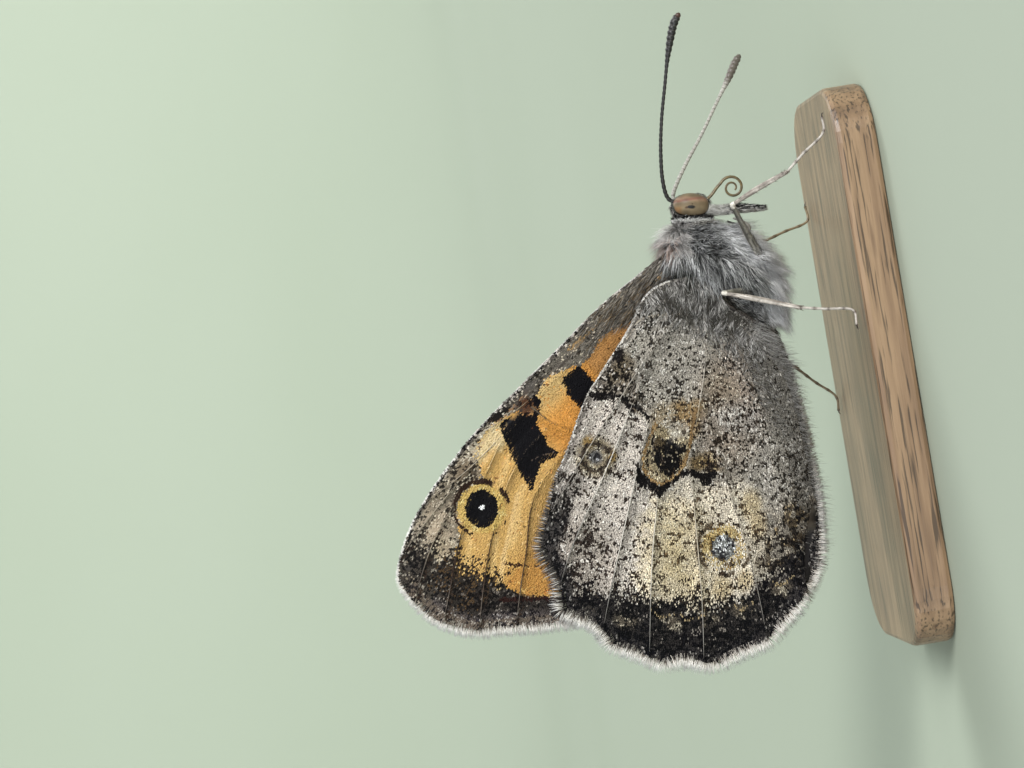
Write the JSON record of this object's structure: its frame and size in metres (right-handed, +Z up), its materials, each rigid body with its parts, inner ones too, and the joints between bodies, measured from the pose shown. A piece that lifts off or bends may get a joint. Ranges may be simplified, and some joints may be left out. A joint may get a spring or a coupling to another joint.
{
  "type": "marbled xenica butterfly, life-size still model on a display base",
  "caption": "Still life-size model of a small brown and orange butterfly at rest with closed wings, standing on a plain flat display base.",
  "frame": {"origin": "centre of the display base's underside", "axes": "+X towards the butterfly's head, +Z up out of the base, the butterfly's left side on +Y"},
  "size_m": [0.033, 0.013, 0.0266],
  "materials": {
    "base": "satin stained wood",
    "fur": "grey brown hair over dark skin",
    "abdomen": "short grey brown scales",
    "eye": "glossy faceted eye, tan with a dark false pupil",
    "antenna_dark": "black ringed feeler",
    "antenna_pale": "pale grey scaled feeler",
    "palp": "black and white hair",
    "proboscis": "smooth olive brown tongue",
    "forewing": "scaled membrane, orange with black marks and grey edges",
    "hindwing": "scaled membrane, marbled grey and brown",
    "leg": "pale brown scaled leg"
  },
  "bodies": {
    "root": {"stand_base": "base", "head": "fur", "thorax": "fur", "abdomen": "abdomen", "eye_R": "eye", "eye_L": "eye", "antenna_R": "antenna_dark", "antenna_L": "antenna_pale", "palp_R": "palp", "palp_L": "palp", "proboscis": "proboscis", "forewing_R": "forewing", "forewing_L": "forewing", "hindwing_R": "hindwing", "hindwing_L": "hindwing", "foreleg_R": "leg", "foreleg_L": "leg", "midleg_femur_R": "leg", "midleg_tibia_R": "leg", "midleg_tarsus_R": "leg", "midleg_femur_L": "leg", "midleg_tibia_L": "leg", "midleg_tarsus_L": "leg", "hindleg_femur_R": "leg", "hindleg_tibia_R": "leg", "hindleg_tarsus_R": "leg", "hindleg_femur_L": "leg", "hindleg_tibia_L": "leg", "hindleg_tarsus_L": "leg"}
  },
  "joints": []
}
